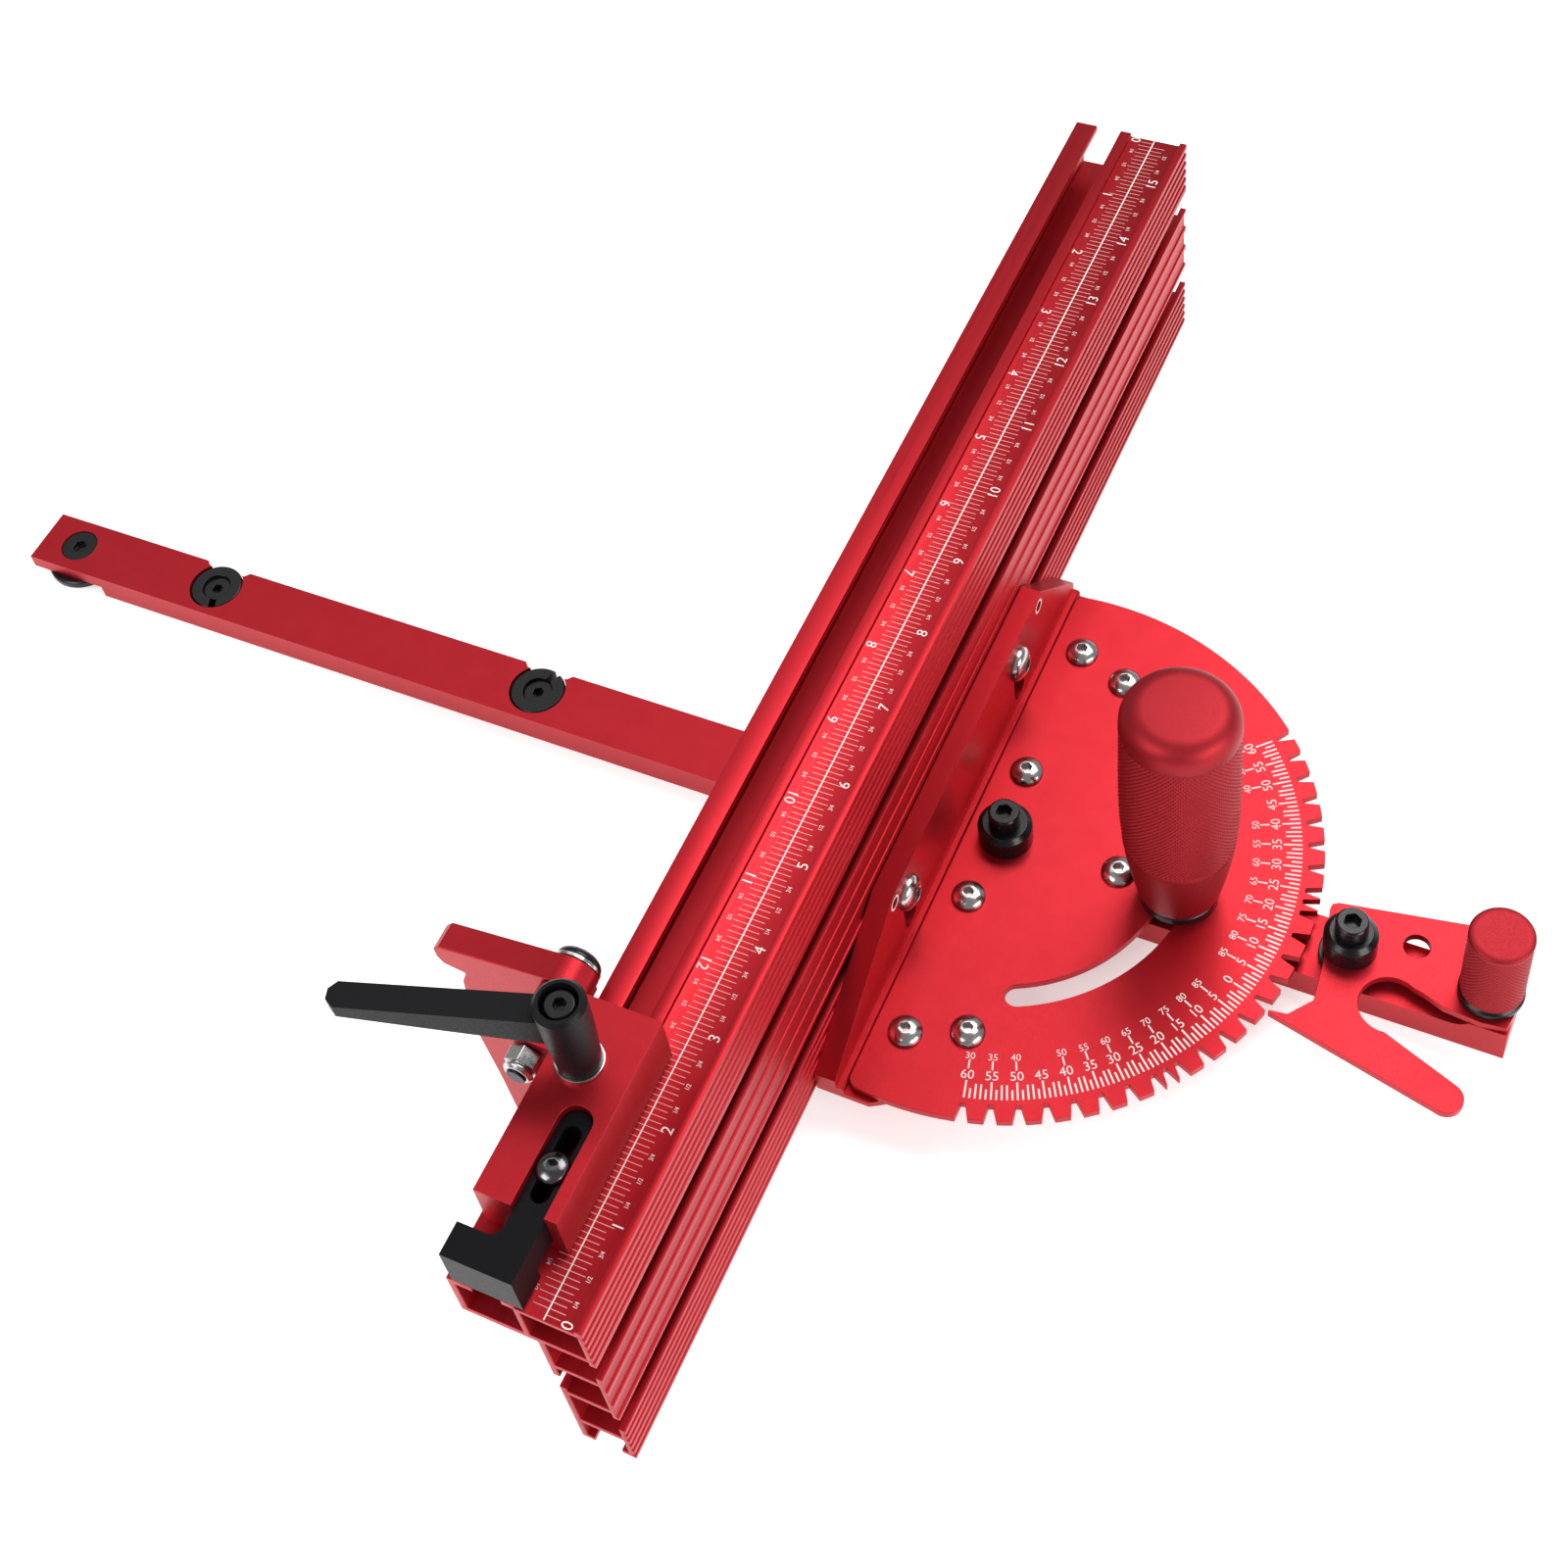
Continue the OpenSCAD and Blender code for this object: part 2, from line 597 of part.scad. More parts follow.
module fence_section() difference() {
    union() {
        room(fence_back, stem_front, fence_bottom, fence_top);
        room(fence_back, box_front, box_bottom, fence_top);
    }
    // Stem rooms
    room(fence_back + wall, stem_front - wall, bottom_room[0], bottom_room[1]);
    room(fence_back + wall, stem_front - wall, lower_room[0], lower_room[1]);
    room(fence_back + wall, stem_front - wall, front_room[0], front_room[1]);
    room(fence_back + wall, stem_front - wall, upper_room[0], upper_room[1]);
    // Slot mouths
    room(bottom_slot_y - slot_w / 2, bottom_slot_y + slot_w / 2, fence_bottom - cut, bottom_room[0] + eps);
    room(fence_back - cut, fence_back + wall + eps, back_slot_z - slot_w / 2, back_slot_z + slot_w / 2);
    room(fence_back - cut, fence_back + wall + eps, upper_slot_z - slot_w / 2, upper_slot_z + slot_w / 2);
    room(stem_front - wall - eps, stem_front + cut, front_slot_z - slot_w / 2, front_slot_z + slot_w / 2);
    // Closed room under the scale, and the recessed scale face
    room(fence_back + wall, scale_far - 1, box_floor, scale_z - 1.5);
    room(scale_near, scale_far, scale_z, fence_top + cut);
    // Top slot
    room(top_cavity_near, top_cavity_far, box_floor, fence_top - top_lip);
    room(top_slot_y - slot_w / 2, top_slot_y + slot_w / 2, fence_top - top_lip - eps, fence_top + cut);
    // Back ribs
    back_grooves(rib_grooves(box_bottom + 1, 3.3, 1.6, 5));
    back_grooves(rib_grooves(fence_bottom + 1.4, 3.3, 1.6, 5));
    back_grooves(rib_grooves(back_slot_z + slot_w / 2 + 1.4, 8, 6, 3));
}

// One extrusion, drawn as parts that meet in the middle of its cross walls
foot_end = (bottom_room[1] + lower_room[0]) / 2;
lower_end = (lower_room[1] + front_room[0]) / 2;
middle_end = (front_room[1] + upper_room[0]) / 2;
upper_end = (upper_room[1] + box_floor) / 2;

module fence_part(z0, z1) color(red) translate([-fence_near, 0, 0]) rotate([90, 0, 90])
    linear_extrude(fence_len) intersection() {
        fence_section();
        room(fence_back - cut, box_front + cut, z0, z1);
    }

module fence_foot() fence_part(fence_bottom - cut, foot_end);
module fence_lower() fence_part(foot_end, lower_end);
module fence_middle() fence_part(lower_end, middle_end);
module fence_upper() fence_part(middle_end, upper_end);
module fence_top_box() fence_part(upper_end, fence_top + cut);

// Lever plate

// The nib is drawn as it sits in the notch for zero, then turned to its resting place
nib_c = 0.45;
nib_root = (root_r + nib_c) * heading(-zero_ang);
nib_side = [cos(zero_ang), sin(-zero_ang)];
nib_out = (tooth_r + 0.7) * heading(-zero_ang) + (notch_rim_half - 0.15) * nib_side;
nib_left = turned(nib_root - 0.25 * nib_side, lever_swing);
nib_right = turned(nib_root + 0.4 * nib_side, lever_swing);
nib_flank = turned(nib_out, lever_swing);
thumb_end = [-33, -index_y - 34.6];
thumb_dir = (thumb_end - nib_left) / norm(thumb_end - nib_left);
thumb_side = [-thumb_dir[1], thumb_dir[0]];
cut_out_c = [-12.8, -index_y - 14.4];
cut_out_r = 8.1;
body_edge_low = [-9.5, -index_y - 36.8];
lock_r = lock_gap;
lock_slot_half = lock_stud_r + 0.7;
lock_start = -2.5;
hook_end = 7;

module lever_outline() {
    polygon([nib_left, thumb_end - thumb_side * thumb_w / 2, thumb_end + [4.1, -1.6] * thumb_w / 8.8,
        cut_out_c - [cut_out_r - 0.4, 0], cut_out_c, cut_out_c + [cut_out_r - 0.2, 0], [-6.5, -index_y - 21.5],
        [-8.5, -index_y - 26.9], body_edge_low, [0, -index_y - 33], [18.5, -index_y - 32.8], [11.9, -index_y + 6.6],
        [11, -index_y + 8], [9.4, -index_y + 8.2], [-6.4, -index_y + 5.1], [-18.5, -index_y + 4], nib_flank,
        nib_right]);
    translate(thumb_end) circle(r = thumb_w / 2);
    // The rear edge is an arc about the plate's own pivot
    intersection() {
        translate(index_p) circle(r = lever_rear_r, $fn = 120);
        polygon([body_edge_low, body_edge_low + [2.5, -23], [20, -index_y - 60], [10, -index_y - 24]]);
    }
}

module lock_slot() translate(index_p) {
    far = 2 * lever_rear_r;
    intersection() {
        difference() {
            circle(r = lock_r + lock_slot_half, $fn = 120);
            circle(r = lock_r - lock_slot_half, $fn = 120);
        }
        polygon([[0, 0], far * heading(lock_start), far * heading(40)]);
    }
    translate(lock_r * heading(lock_start)) circle(r = lock_slot_half);
    // Past the hook the slot is open to the rear
    difference() {
        polygon([[0, 0], far * heading(hook_end), far * heading(45)]);
        circle(r = lock_r - lock_slot_half, $fn = 120);
    }
}

module index_plate() color(red) translate([0, 0, seat_z]) linear_extrude(plate_t) difference() {
    lever_outline();
    translate(cut_out_c) circle(r = cut_out_r);
    lock_slot();
    translate(index_p) circle(r = sleeve_r + run_c);
    translate([6.3, -index_y - 16]) circle(r = lever_hole_r);
}

// Stop block

block_far = -fence_near + block_at;
block_near = block_far - block_len;
block_y = top_slot_y - 13.25;
block_front = block_y + block_w;
slide_c = 0.1;
block_z = fence_top + slide_c;
block_top = block_z + block_h;
clamp_x = block_far - 16.1;
clamp_p = [clamp_x, top_slot_y, 0];
hinge_y = block_front + 6.8;
hinge_z = block_z + 9.7;
ear_r = 5.8;
ear_len = 16;
groove_y = block_y + 3.2;
groove_z = block_top - groove_depth;
groove_end = block_far - 25.9;
key_c = 0.15;
key_h = 1.6;
clamp_bolt_r = 3;

module stop_block() color(red) difference() {
    union() {
        translate([block_near, block_y, block_z]) cube([block_len, block_w, block_h]);
        // The key keeps the block square in the fence's top slot
        translate([block_near, top_slot_y - slot_w / 2 + key_c, fence_top - key_h])
            cube([block_len, slot_w - 2 * key_c, key_h + slide_c + eps]);
        translate([block_far - ear_len, hinge_y, hinge_z]) rotate([0, 90, 0]) cylinder(r = ear_r, h = ear_len);
        translate([block_far - ear_len, block_front - eps, hinge_z - ear_r])
            cube([ear_len, hinge_y - block_front, 2 * ear_r]);
    }
    translate([groove_end - groove_w / 2, groove_y + groove_w / 2, groove_z])
        cylinder(r = groove_w / 2, h = groove_depth + cut);
    translate([block_near - cut, groove_y, groove_z])
        cube([groove_end - groove_w / 2 - block_near + cut, groove_w, groove_depth + cut]);
    translate([block_far - ear_len - cut, hinge_y, hinge_z]) rotate([0, 90, 0])
        cylinder(r = hinge_r + run_c, h = ear_len + 2 * cut);
    translate([clamp_x, top_slot_y, fence_top - key_h - cut])
        cylinder(r = clamp_bolt_r + 0.1, h = block_h + key_h + 2 * cut);
    translate([finger_screw_x, finger_mid_y, fence_top - key_h - cut])
        cylinder(r = finger_screw_r + thread_c, h = groove_z - fence_top + key_h + 2 * cut);
}

t_head_half = 5.8;
t_head_h = 3;

module stop_bolt() color(steel) translate(clamp_p) {
    translate([-6, -t_head_half, fence_top - top_lip - t_head_h]) cube([12, 2 * t_head_half, t_head_h]);
    translate([0, 0, fence_top - top_lip - eps])
        cylinder(r = clamp_bolt_r, h = block_top + 8 - fence_top + top_lip);
}

// Finger

finger_len = 42.4;
finger_tip = groove_end - 0.5;
finger_near = finger_tip - finger_len;
finger_y = groove_y + finger_c;
finger_w = groove_w - 2 * finger_c;
finger_mid_y = groove_y + groove_w / 2;
finger_top = block_top - 2.1;
foot_w = 8.4;
foot_front = finger_y + 18.5;
foot_low = fence_top + 0.4;
foot_fillet = 3;
finger_slot_half = 2.3;
finger_screw_r = 2;
finger_screw_x = block_near + 12;
slot_from = finger_tip - 3.7 - finger_slot_half;
slot_to = finger_tip - 23.5 + finger_slot_half;

module finger_plan() difference() {
    union() {
        translate([finger_near, finger_y]) square([finger_len - finger_w / 2, finger_w]);
        translate([finger_tip - finger_w / 2, finger_y + finger_w / 2]) circle(r = finger_w / 2);
        translate([finger_near, finger_y]) square([foot_w, foot_front - finger_y]);
        translate([finger_near + foot_w - eps, finger_y + finger_w - eps]) square(foot_fillet);
    }
    translate([finger_near + foot_w + foot_fillet, finger_y + finger_w + foot_fillet]) circle(r = foot_fillet);
}

module finger() color(black) difference() {
    union() {
        translate([0, 0, groove_z]) linear_extrude(finger_top - groove_z) finger_plan();
        // The foot reaches down to the fence outside the block
        translate([finger_near, finger_y, foot_low]) cube([foot_w, foot_front - finger_y, finger_top - foot_low]);
    }
    for (x = [slot_from, slot_to]) translate([x, finger_mid_y, groove_z - cut])
        cylinder(r = finger_slot_half, h = groove_depth + 2 * cut);
    translate([slot_to, finger_mid_y - finger_slot_half, groove_z - cut])
        cube([slot_from - slot_to, 2 * finger_slot_half, groove_depth + 2 * cut]);
}

module finger_screw() color(black) translate([finger_screw_x, finger_mid_y, 0])
    button_screw(finger_screw_r, 4.2, 2.4, fence_top + 0.3, finger_top, 2.5);

// Flip arm

arm_gap = 0.3;
arm_x = block_far + arm_gap;
washer_t = 1;
hinge_p = [hinge_y, hinge_z];

// Outline in the plane across the fence; a point is given from the hinge, in hundredths of the arm's reach
arm_low = fence_bottom + 2;
function arm_at(u, v) = [hinge_y + u * arm_reach / 100, hinge_z + v * arm_reach / 100];
arm_back = hinge_y - 0.072 * arm_reach;
arm_points = [
    arm_at(-13.8, -16),
    arm_at(-7.2, -32.3),
    [arm_back, arm_low],
    [hinge_y + 0.84 * arm_reach, arm_low],
    arm_at(86.7, -175.4),
    arm_at(92, -108.8),
    arm_at(84.8, -37.8),
    arm_at(79.3, -24),
    arm_at(95.6, -20.7),
    arm_at(99.4, -13.8),
    arm_at(100, -4.1),
    arm_at(94.2, 2.2),
    arm_at(5.5, 16.3)
];

module flip_arm() color(red) translate([arm_x, 0, 0]) rotate([90, 0, 90]) linear_extrude(arm_t) difference() {
    union() {
        polygon(arm_points);
        translate(hinge_p) circle(r = knuckle_r);
    }
    translate(hinge_p) circle(r = hinge_r + run_c);
}

module hinge_washer() color(steel) translate([arm_x + arm_t, hinge_y, hinge_z]) rotate([0, 90, 0])
    ring(6.2, hinge_r + run_c, 0.05, washer_t - 0.05, 0.1);

module hinge_bolt() color(black) translate([arm_x + arm_t + washer_t, hinge_y, hinge_z]) rotate([0, 90, 0])
    button_screw(hinge_r, 5.9, 3.2, -arm_t - washer_t - arm_gap - ear_len - 7, 0, 3);

module hinge_nut() color(steel) translate([block_far - ear_len - 0.4, hinge_y, hinge_z]) rotate([0, -90, 0])
    difference() {
        union() {
            cylinder(r = 4.6, h = 4, $fn = 6);
            ring(3.9, 0, 4 - eps, 2, 0.8);
        }
        translate([0, 0, -cut]) cylinder(r = hinge_r + thread_c, h = 6 + 2 * cut);
    }

// Clamp lever

insert_t = 1.3;
insert_r = 4;
insert_h = 15;
hub_z = block_top + insert_t;
hub_top = hub_z + hub_h;
hub_low_r = hub_top_r - 1;
recess_r = 4.7;
recess_h = 5;
recess_z = hub_top - recess_h;
arm_top = hub_top - 4;
arm_root_h = 10;
arm_tip_h = 4.1;
arm_root_w = 7.4;
arm_tip_w = 6.7;
lever_screw_r = 2;

module lever_insert() color(steel) translate(clamp_p) difference() {
    union() {
        ring(6.1, 0, block_top, insert_t, 0.2);
        translate([0, 0, hub_z - eps]) cylinder(r = insert_r, h = insert_h);
    }
    translate([0, 0, block_top - cut]) cylinder(r = clamp_bolt_r + run_c, h = 10);
    translate([0, 0, hub_z + 8]) cylinder(r = lever_screw_r + thread_c, h = insert_h);
}

module clamp_lever() color(black) translate(clamp_p) difference() {
    union() {
        rotate_extrude() polygon([[0, hub_z], [hub_low_r, hub_z], [hub_top_r - 0.2, hub_z + hub_h * 0.55],
            [hub_top_r, hub_top - 1], [hub_top_r - 0.9, hub_top], [0, hub_top]]);
        rotate([0, 0, clamp_ang]) intersection() {
            translate([-arm_root_w / 2, 0, 0]) rotate([90, 0, 90]) linear_extrude(arm_root_w)
                polygon([[0, arm_top - arm_root_h], [clamp_len * 0.5, arm_top - arm_root_h * 0.72],
                    [clamp_len, arm_top - arm_tip_h], [clamp_len, arm_top], [0, arm_top]]);
            translate([0, 0, hub_z]) linear_extrude(hub_h) {
                polygon([[-arm_root_w / 2, 0], [arm_root_w / 2, 0], [arm_tip_w / 2, clamp_len - 2],
                    [arm_tip_w / 2 - 2, clamp_len], [2 - arm_tip_w / 2, clamp_len], [-arm_tip_w / 2, clamp_len - 2]]);
            }
        }
    }
    translate([0, 0, recess_z]) cylinder(r = recess_r, h = recess_h + cut);
    translate([0, 0, hub_z - cut]) cylinder(r = insert_r + thread_c, h = insert_h + 0.3 + cut);
    translate([0, 0, hub_z]) cylinder(r = lever_screw_r + 0.2, h = hub_h);
}

module lever_screw() color(black) translate(clamp_p)
    socket_screw(lever_screw_r, 3.9, 4, hub_z + 8.5, recess_z, 3);

bar();
retaining_disc();
retaining_screw();
front_expansion_disc();
rear_expansion_disc();
front_expansion_screw();
rear_expansion_screw();
pivot_spacer();
pivot_collar();
pivot_bolt();
index_spacer();
index_collar();
index_bolt();
lock_stud();
lock_knob_washer();
lock_knob();
handle_stud();
handle_washer();
handle();
protractor_plate();
glide_pad();
plate_screws();
fence_bracket();
fence_bolts();
fence_nuts();
bracket_set_screws();
fence_foot();
fence_lower();
fence_middle();
fence_upper();
fence_top_box();
index_plate();
stop_block();
stop_bolt();
finger();
finger_screw();
flip_arm();
hinge_bolt();
hinge_washer();
hinge_nut();
lever_insert();
clamp_lever();
lever_screw();
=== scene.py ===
import json
import math

import bmesh
import bpy
import numpy as np
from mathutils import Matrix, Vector


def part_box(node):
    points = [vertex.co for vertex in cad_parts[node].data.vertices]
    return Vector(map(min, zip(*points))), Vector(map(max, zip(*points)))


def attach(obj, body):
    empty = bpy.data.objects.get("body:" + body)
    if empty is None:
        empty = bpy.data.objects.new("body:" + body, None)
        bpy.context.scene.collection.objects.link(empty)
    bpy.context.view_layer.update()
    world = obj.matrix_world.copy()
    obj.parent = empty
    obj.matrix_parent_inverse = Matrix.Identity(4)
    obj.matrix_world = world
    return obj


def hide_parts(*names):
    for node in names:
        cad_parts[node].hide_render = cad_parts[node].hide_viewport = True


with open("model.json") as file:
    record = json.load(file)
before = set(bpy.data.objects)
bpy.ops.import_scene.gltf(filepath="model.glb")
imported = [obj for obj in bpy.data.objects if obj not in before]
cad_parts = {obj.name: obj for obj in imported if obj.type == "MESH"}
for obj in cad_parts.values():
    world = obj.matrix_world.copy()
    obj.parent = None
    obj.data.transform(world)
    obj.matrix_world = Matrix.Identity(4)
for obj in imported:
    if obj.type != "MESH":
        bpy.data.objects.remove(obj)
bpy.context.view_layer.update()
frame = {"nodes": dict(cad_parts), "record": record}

MM = 0.001
nodes = frame["nodes"]
axis_m = {joint["name"]: joint.get("pos_m") for joint in frame["record"]["behaviour"]["joints"]}


def mm(*values):
    return tuple(v * MM for v in values)


def box_mm(node):
    """The low and high corners of a CAD piece in millimetres, to a thousandth."""
    return [tuple(round(v / MM, 3) for v in corner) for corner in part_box(node)]


# Materials

def material(name, color, metallic, roughness):
    made = bpy.data.materials.new(name)
    made.use_nodes = True
    shader = made.node_tree.nodes["Principled BSDF"]
    shader.inputs["Base Color"].default_value = (*color, 1)
    shader.inputs["Metallic"].default_value = metallic
    shader.inputs["Roughness"].default_value = roughness
    made.diffuse_color = (*color, 1)
    return made


def texture_space(made, stretch=(1, 1, 1)):
    tree = made.node_tree
    coordinates = tree.nodes.new("ShaderNodeTexCoord")
    mapping = tree.nodes.new("ShaderNodeMapping")
    mapping.inputs["Scale"].default_value = stretch
    tree.links.new(coordinates.outputs["Object"], mapping.inputs["Vector"])
    return mapping.outputs["Vector"]


def noise(made, space, scale, detail):
    tree = made.node_tree
    found = tree.nodes.new("ShaderNodeTexNoise")
    found.inputs["Scale"].default_value = scale
    found.inputs["Detail"].default_value = detail
    tree.links.new(space, found.inputs["Vector"])
    return found.outputs["Fac"]


def tint(made, value, color_a, color_b):
    tree = made.node_tree
    mixed = tree.nodes.new("ShaderNodeMix")
    mixed.data_type = "RGBA"
    mixed.inputs["A"].default_value = (*color_a, 1)
    mixed.inputs["B"].default_value = (*color_b, 1)
    tree.links.new(value, mixed.inputs["Factor"])
    tree.links.new(mixed.outputs["Result"], tree.nodes["Principled BSDF"].inputs["Base Color"])


# Most of a noise's values lie between these two
NOISE_LOW = 0.25
NOISE_HIGH = 0.75


def roughen(made, value, low, high):
    tree = made.node_tree
    ranged = tree.nodes.new("ShaderNodeMapRange")
    ranged.inputs["From Min"].default_value = NOISE_LOW
    ranged.inputs["From Max"].default_value = NOISE_HIGH
    ranged.inputs["To Min"].default_value = low
    ranged.inputs["To Max"].default_value = high
    tree.links.new(value, ranged.inputs["Value"])
    tree.links.new(ranged.outputs["Result"], tree.nodes["Principled BSDF"].inputs["Roughness"])


def relief(made, value, depth_mm, strength):
    tree = made.node_tree
    bump = tree.nodes.new("ShaderNodeBump")
    bump.inputs["Strength"].default_value = strength
    bump.inputs["Distance"].default_value = depth_mm * MM
    tree.links.new(value, bump.inputs["Height"])
    tree.links.new(bump.outputs["Normal"], tree.nodes["Principled BSDF"].inputs["Normal"])


def grained(made, space, scale, detail, rough, depth_mm, strength):
    """A fine grain that varies the roughness between two values and lifts the surface a little."""
    grain = noise(made, space, scale, detail)
    roughen(made, grain, *rough)
    relief(made, grain, depth_mm, strength)


def dull(made, level):
    """Weaken the mirror part of a surface that isn't metal."""
    made.node_tree.nodes["Principled BSDF"].inputs["Specular IOR Level"].default_value = level


RED = (0.45, 0.016, 0.025)
RED_DEEP = (0.39, 0.011, 0.018)
FENCE_RED = (0.435, 0.0145, 0.023)
FENCE_DEEP = (0.38, 0.011, 0.018)
GRIP_RED = (0.33, 0.014, 0.021)
GRIP_DEEP = (0.28, 0.01, 0.016)
SOFT_BLACK = (0.004, 0.004, 0.005)


def blasted_red():
    """Fine bead-blasted grain under the anodised colour."""
    made = material("red_blasted", RED, metallic=0.82, roughness=0.4)
    even = texture_space(made)
    tint(made, noise(made, even, scale=150, detail=9), RED_DEEP, RED)
    grained(made, even, scale=2600, detail=2, rough=(0.34, 0.46), depth_mm=0.05, strength=0.5)
    return made


def extruded_red():
    """Faint die lines that run along the fence."""
    made = material("red_extruded", FENCE_RED, metallic=0.85, roughness=0.34)
    patches = noise(made, texture_space(made, (0.2, 1, 1)), scale=60, detail=2)
    tint(made, patches, FENCE_DEEP, FENCE_RED)
    lines = texture_space(made, (0.01, 1, 1))
    grained(made, lines, scale=1500, detail=3, rough=(0.34, 0.48), depth_mm=0.006, strength=0.2)
    return made


def grip_red():
    """The turned grips are a shade darker than the plates."""
    made = material("red_turned", GRIP_RED, metallic=0.8, roughness=0.44)
    even = texture_space(made)
    tint(made, noise(made, even, scale=40, detail=3), GRIP_DEEP, GRIP_RED)
    grained(made, even, scale=2200, detail=2, rough=(0.44, 0.56), depth_mm=0.02, strength=0.3)
    return made


def black_steel():
    made = material("black_oxide", SOFT_BLACK, metallic=0, roughness=0.3)
    dull(made, 0.3)
    grained(made, texture_space(made), scale=1800, detail=2, rough=(0.2, 0.34), depth_mm=0.006, strength=0.2)
    return made


def black_finger():
    made = material("black_anodised", SOFT_BLACK, metallic=0, roughness=0.36)
    dull(made, 0.1)
    grained(made, texture_space(made), scale=2600, detail=2, rough=(0.3, 0.44), depth_mm=0.03, strength=0.35)
    return made


def powder_black():
    """The pebbled coat of the clamp lever."""
    made = material("black_powder_coat", (0.005, 0.005, 0.006), metallic=0, roughness=0.42)
    dull(made, 0.13)
    grained(made, texture_space(made), scale=1400, detail=2, rough=(0.34, 0.5), depth_mm=0.06, strength=0.5)
    return made


def bright_steel():
    made = material("bright_steel", (0.52, 0.51, 0.505), metallic=1, roughness=0.2)
    grained(made, texture_space(made), scale=700, detail=3, rough=(0.15, 0.28), depth_mm=0.01, strength=0.2)
    return made


def polished_dark_steel():
    made = material("dark_steel", (0.13, 0.13, 0.14), metallic=1, roughness=0.2)
    grained(made, texture_space(made), scale=900, detail=3, rough=(0.14, 0.28), depth_mm=0.01, strength=0.2)
    return made


def plain_plastic():
    made = material("pale_plastic", (0.8, 0.8, 0.77), metallic=0, roughness=0.5)
    grained(made, texture_space(made), scale=1200, detail=2, rough=(0.42, 0.6), depth_mm=0.02, strength=0.3)
    return made


def bare_metal():
    """Pale metal, a painted highlight that stands in for the glint of the bracket's set screws."""
    made = material("bare_metal", (0.8, 0.76, 0.75), metallic=0.2, roughness=0.4)
    grained(made, texture_space(made), scale=2600, detail=2, rough=(0.34, 0.48), depth_mm=0.01, strength=0.2)
    return made


def engraved_marks(name, color):
    """Laser marks, dull and a little uneven."""
    made = material(name, color, metallic=0, roughness=0.6)
    roughen(made, noise(made, texture_space(made), scale=3000, detail=1), low=0.5, high=0.7)
    dull(made, 0.2)
    return made


red = blasted_red()
fence_red = extruded_red()
turned_red = grip_red()
black = black_steel()
black_satin = black_finger()
coat = powder_black()
steel = bright_steel()
dark_steel = polished_dark_steel()
plastic = plain_plastic()
# Painted highlight: the pale metal of the rings that stand in for the set screws' glint
glint_paint = bare_metal()
marks = engraved_marks("white_marks", (0.78, 0.7, 0.68))
fine_marks = engraved_marks("fine_marks", (0.72, 0.36, 0.34))

FINISHES = {
    "red_anodised": red,
    "black_oxide": black,
    "bright_steel": steel,
    "black_cast": coat,
    "pale_plastic": plastic,
}
# Pieces whose finish differs from the one that their slot names
SPECIAL = {
    "finger": black_satin,
    "finger_screw": dark_steel,
    "bracket_set_screws": steel,
    "index_spacer": black,
}
slot_of = {s["node"]: s["material_slot"] for s in frame["record"]["subparts"]}


# CAD pieces: clean meshes, fine broken edges and smooth round faces

# Width of a broken edge in millimetres, where it isn't the plain one
PLAIN_EDGE = 0.2
FENCE_EDGE = 0.15
EDGES = {
    "bar": 0.35,
    "handle": 0.3,
    "flip_arm": 0.5,
    "stop_block": 0.5,
    "clamp_lever": 0.6,
    "finger": 0.4,
    "fence_bracket": 0.3,
    "index_plate": 0.3,
    "plate_screws": 0.15,
    "fence_bolts": 0.15,
}
EDGE_SEGMENTS = 2
# An edge sharper than this is broken, and faces that differ by less than the flat angle are one face
SHARP_ANGLE = math.radians(32)
FLAT_ANGLE = math.radians(0.5)
# Points and levels closer than this, in metres, are the same
SAME = 0.000002
# A face whose normal has at least this much of Z is level
LEVEL_NORMAL = 0.99


def broken_edges(obj, width_mm):
    bevel = obj.modifiers.new("bevel", "BEVEL")
    bevel.width = width_mm * MM
    bevel.segments = EDGE_SEGMENTS
    bevel.limit_method = "ANGLE"
    bevel.angle_limit = SHARP_ANGLE
    bevel.use_clamp_overlap = True
    bevel.harden_normals = True
    bevel.miter_outer = "MITER_ARC"


def soften(obj, width_mm):
    if "custom_normal" in obj.data.attributes:
        obj.data.attributes.remove(obj.data.attributes["custom_normal"])
    for face in obj.data.polygons:
        face.use_smooth = True
    weld = obj.modifiers.new("weld", "WELD")
    weld.merge_threshold = SAME
    flat = obj.modifiers.new("flat", "DECIMATE")
    flat.decimate_type = "DISSOLVE"
    flat.angle_limit = FLAT_ANGLE
    broken_edges(obj, width_mm)


def finish_cad(name):
    obj = nodes[name]
    obj.data.materials.clear()
    obj.data.materials.append(SPECIAL.get(name, FINISHES[slot_of[name]]))
    soften(obj, EDGES.get(name, PLAIN_EDGE))


FENCE_NODES = ("fence_foot", "fence_lower", "fence_middle", "fence_upper", "fence_top_box")
for name in [n for n in nodes if n not in FENCE_NODES]:
    finish_cad(name)


# New pieces

def show(name, mesh):
    obj = bpy.data.objects.new(name, mesh)
    bpy.context.scene.collection.objects.link(obj)
    return obj


def piece(name, points, faces, made, body, flat_faces=None):
    """A mesh from points in millimetres. Its faces are smooth, apart from the flat ones."""
    mesh = bpy.data.meshes.new(name)
    mesh.from_pydata([mm(*p) for p in points], [], faces)
    mesh.update()
    for index, face in enumerate(mesh.polygons):
        face.use_smooth = flat_faces is None or index not in flat_faces
    mesh.materials.append(made)
    obj = show(name, mesh)
    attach(obj, body)
    return obj


